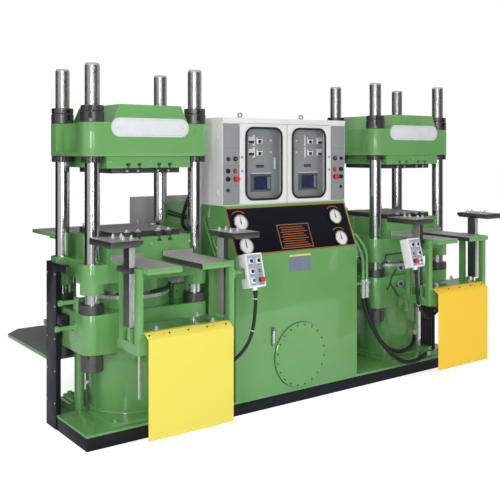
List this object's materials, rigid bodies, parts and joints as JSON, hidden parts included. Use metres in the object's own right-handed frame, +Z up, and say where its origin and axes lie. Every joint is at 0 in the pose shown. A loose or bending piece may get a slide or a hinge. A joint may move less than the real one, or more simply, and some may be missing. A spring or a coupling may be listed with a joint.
{
  "type": "compression molding machine",
  "caption": "Twin-station hydraulic compression moulding press: four-column presses either side of an oil tank with gauge console and control cabinet.",
  "frame": {"origin": "on the floor, midway between the two presses, on the line through both press centres", "axes": "+X along the machine towards the right press, +Y from the operator's side to the back, +Z up"},
  "size_m": [3.405, 1.917, 2.25],
  "materials": {
    "machine_green": "semi-gloss",
    "base_black": "satin",
    "hard_chrome": "polished",
    "dark_steel": "satin",
    "ground_steel": "ground",
    "guard_yellow": "semi-gloss",
    "panel_black": "matt anodised",
    "gauge_steel": "satin",
    "cabinet_grey": "semi-gloss",
    "instrument_grey": "satin",
    "window_glass": "clear",
    "needle_black": "matt",
    "stop_red": "gloss",
    "start_green": "gloss",
    "knob_black": "matt",
    "pendant_grey": "semi-gloss",
    "cable_rubber": "matt",
    "checker_steel": "worn",
    "thread_steel": "turned",
    "dial_white": "matt",
    "plate_white": "semi-gloss",
    "trim_orange": "semi-gloss",
    "fitting_zinc": "plated",
    "screen_bezel": "matt",
    "screen_blue": "gloss",
    "amber_lens": "gloss",
    "clear_lens": "gloss",
    "side_white": "semi-gloss"
  },
  "bodies": {
    "machine": {"plinth": "base_black", "deck_plate": "machine_green", "press_beds": "machine_green", "main_cylinders": "machine_green", "crowns": "machine_green", "upper_bolsters": "machine_green", "upper_hot_plates": "dark_steel", "tie_columns": "hard_chrome", "column_nuts": "dark_steel", "front_frames": "machine_green", "work_tables": "machine_green", "front_guards": "guard_yellow", "lift_guides": "dark_steel", "oil_tank": "machine_green", "tank_cover": "machine_green", "console_panel": "panel_black", "gauges": "gauge_steel", "control_cabinet": "cabinet_grey", "instrument_panels": "instrument_grey", "rear_unit_cover": "instrument_grey", "cable_duct": "base_black", "pendant_boxes": "pendant_grey", "rear_platforms": "checker_steel", "hydraulic_pipes": "machine_green", "pressure_hose": "cable_rubber", "return_hose": "cable_rubber", "left_pendant_cable": "cable_rubber", "right_pendant_cable": "cable_rubber"},
    "left_press_table": {"left_platen": "machine_green", "left_ram": "hard_chrome", "left_lower_hot_plate": "dark_steel"},
    "left_outer_lift": {"left_outer_lift": "dark_steel"},
    "left_inner_lift": {"left_inner_lift": "dark_steel"},
    "left_cabinet_door": {"left_cabinet_door": "cabinet_grey", "left_door_window": "window_glass"},
    "right_press_table": {"right_platen": "machine_green", "right_ram": "hard_chrome", "right_lower_hot_plate": "dark_steel"},
    "right_outer_lift": {"right_outer_lift": "dark_steel"},
    "right_inner_lift": {"right_inner_lift": "dark_steel"},
    "right_cabinet_door": {"right_cabinet_door": "cabinet_grey", "right_door_window": "window_glass"},
    "left_upper_gauge_needle": {"left_upper_gauge_needle": "needle_black"},
    "left_lower_gauge_needle": {"left_lower_gauge_needle": "needle_black"},
    "right_upper_gauge_needle": {"right_upper_gauge_needle": "needle_black"},
    "right_lower_gauge_needle": {"right_lower_gauge_needle": "needle_black"},
    "left_cabinet_selector": {"left_cabinet_selector": "knob_black"},
    "left_cabinet_stop": {"left_cabinet_stop": "stop_red"},
    "right_cabinet_selector": {"right_cabinet_selector": "knob_black"},
    "right_cabinet_stop": {"right_cabinet_stop": "stop_red"},
    "left_pendant_outer_selector": {"left_pendant_outer_selector": "knob_black"},
    "left_pendant_inner_selector": {"left_pendant_inner_selector": "knob_black"},
    "left_pendant_lower_selector": {"left_pendant_lower_selector": "knob_black"},
    "left_pendant_stop": {"left_pendant_stop": "stop_red"},
    "left_pendant_start_button": {"left_pendant_start_button": "start_green"},
    "right_pendant_outer_selector": {"right_pendant_outer_selector": "knob_black"},
    "right_pendant_inner_selector": {"right_pendant_inner_selector": "knob_black"},
    "right_pendant_lower_selector": {"right_pendant_lower_selector": "knob_black"},
    "right_pendant_stop": {"right_pendant_stop": "stop_red"},
    "right_pendant_start_button": {"right_pendant_start_button": "start_green"}
  },
  "joints": [
    {"name": "left_press_stroke", "type": "slide", "parent": "machine", "child": "left_press_table", "axis": [0, 0, 1], "range_m": [0, 0.3]},
    {"name": "left_outer_lift_slide", "type": "slide", "parent": "machine", "child": "left_outer_lift", "axis": [0, 0, 1], "range_m": [0, 0.12]},
    {"name": "left_inner_lift_slide", "type": "slide", "parent": "machine", "child": "left_inner_lift", "axis": [0, 0, 1], "range_m": [0, 0.12]},
    {"name": "left_door_hinge", "type": "hinge", "parent": "machine", "child": "left_cabinet_door", "pos_m": [-0.088, -0.265, 1.637], "axis": [0, 0, 1], "range_deg": [0, 90]},
    {"name": "right_press_stroke", "type": "slide", "parent": "machine", "child": "right_press_table", "axis": [0, 0, 1], "range_m": [0, 0.3]},
    {"name": "right_outer_lift_slide", "type": "slide", "parent": "machine", "child": "right_outer_lift", "axis": [0, 0, 1], "range_m": [0, 0.12]},
    {"name": "right_inner_lift_slide", "type": "slide", "parent": "machine", "child": "right_inner_lift", "axis": [0, 0, 1], "range_m": [0, 0.12]},
    {"name": "right_door_hinge", "type": "hinge", "parent": "machine", "child": "right_cabinet_door", "pos_m": [-0.072, -0.265, 1.637], "axis": [0, 0, -1], "range_deg": [0, 90]},
    {"name": "left_upper_gauge_needle_turn", "type": "hinge", "parent": "machine", "child": "left_upper_gauge_needle", "pos_m": [-0.516, -0.32087, 1.25027], "axis": [0, 0.9187, -0.395], "range_deg": [0, 180]},
    {"name": "left_lower_gauge_needle_turn", "type": "hinge", "parent": "machine", "child": "left_lower_gauge_needle", "pos_m": [-0.516, -0.38545, 1.10007], "axis": [0, 0.9187, -0.395], "range_deg": [0, 180]},
    {"name": "right_upper_gauge_needle_turn", "type": "hinge", "parent": "machine", "child": "right_upper_gauge_needle", "pos_m": [0.324, -0.32087, 1.25027], "axis": [0, 0.9187, -0.395], "range_deg": [0, 180]},
    {"name": "right_lower_gauge_needle_turn", "type": "hinge", "parent": "machine", "child": "right_lower_gauge_needle", "pos_m": [0.324, -0.38545, 1.10007], "axis": [0, 0.9187, -0.395], "range_deg": [0, 180]},
    {"name": "left_cabinet_selector_turn", "type": "hinge", "parent": "machine", "child": "left_cabinet_selector", "pos_m": [-0.585, -0.2643, 1.671], "axis": [0, 1, 0], "range_deg": [0, 45]},
    {"name": "left_cabinet_stop_press", "type": "slide", "parent": "machine", "child": "left_cabinet_stop", "axis": [0, 1, 0], "range_m": [0, 0.004], "stiffness_N_per_m": 800},
    {"name": "right_cabinet_selector_turn", "type": "hinge", "parent": "machine", "child": "right_cabinet_selector", "pos_m": [0.425, -0.2643, 1.671], "axis": [0, 1, 0], "range_deg": [0, 45]},
    {"name": "right_cabinet_stop_press", "type": "slide", "parent": "machine", "child": "right_cabinet_stop", "axis": [0, 1, 0], "range_m": [0, 0.004], "stiffness_N_per_m": 800},
    {"name": "left_pendant_outer_selector_turn", "type": "hinge", "parent": "machine", "child": "left_pendant_outer_selector", "pos_m": [-0.6705, -0.71833, 1.05421], "axis": [0, 0.9659, -0.2588], "range_deg": [0, 45]},
    {"name": "left_pendant_inner_selector_turn", "type": "hinge", "parent": "machine", "child": "left_pendant_inner_selector", "pos_m": [-0.7265, -0.71833, 1.05421], "axis": [0, 0.9659, -0.2588], "range_deg": [0, 45]},
    {"name": "left_pendant_lower_selector_turn", "type": "hinge", "parent": "machine", "child": "left_pendant_lower_selector", "pos_m": [-0.7265, -0.73438, 0.99432], "axis": [0, 0.9659, -0.2588], "range_deg": [0, 45]},
    {"name": "left_pendant_stop_press", "type": "slide", "parent": "machine", "child": "left_pendant_stop", "axis": [0, 0.9659, -0.2588], "range_m": [0, 0.004], "stiffness_N_per_m": 800},
    {"name": "left_pendant_start_button_press", "type": "slide", "parent": "machine", "child": "left_pendant_start_button", "axis": [0, 0.9659, -0.2588], "range_m": [0, 0.004], "stiffness_N_per_m": 500},
    {"name": "right_pendant_outer_selector_turn", "type": "hinge", "parent": "machine", "child": "right_pendant_outer_selector", "pos_m": [0.6955, -0.71833, 1.05421], "axis": [0, 0.9659, -0.2588], "range_deg": [0, 45]},
    {"name": "right_pendant_inner_selector_turn", "type": "hinge", "parent": "machine", "child": "right_pendant_inner_selector", "pos_m": [0.7515, -0.71833, 1.05421], "axis": [0, 0.9659, -0.2588], "range_deg": [0, 45]},
    {"name": "right_pendant_lower_selector_turn", "type": "hinge", "parent": "machine", "child": "right_pendant_lower_selector", "pos_m": [0.7515, -0.73438, 0.99432], "axis": [0, 0.9659, -0.2588], "range_deg": [0, 45]},
    {"name": "right_pendant_stop_press", "type": "slide", "parent": "machine", "child": "right_pendant_stop", "axis": [0, 0.9659, -0.2588], "range_m": [0, 0.004], "stiffness_N_per_m": 800},
    {"name": "right_pendant_start_button_press", "type": "slide", "parent": "machine", "child": "right_pendant_start_button", "axis": [0, 0.9659, -0.2588], "range_m": [0, 0.004], "stiffness_N_per_m": 500}
  ],
  "couplings": [
    {"joint": "left_inner_lift_slide", "follows": "left_outer_lift_slide", "ratio": 1},
    {"joint": "right_inner_lift_slide", "follows": "right_outer_lift_slide", "ratio": 1}
  ]
}
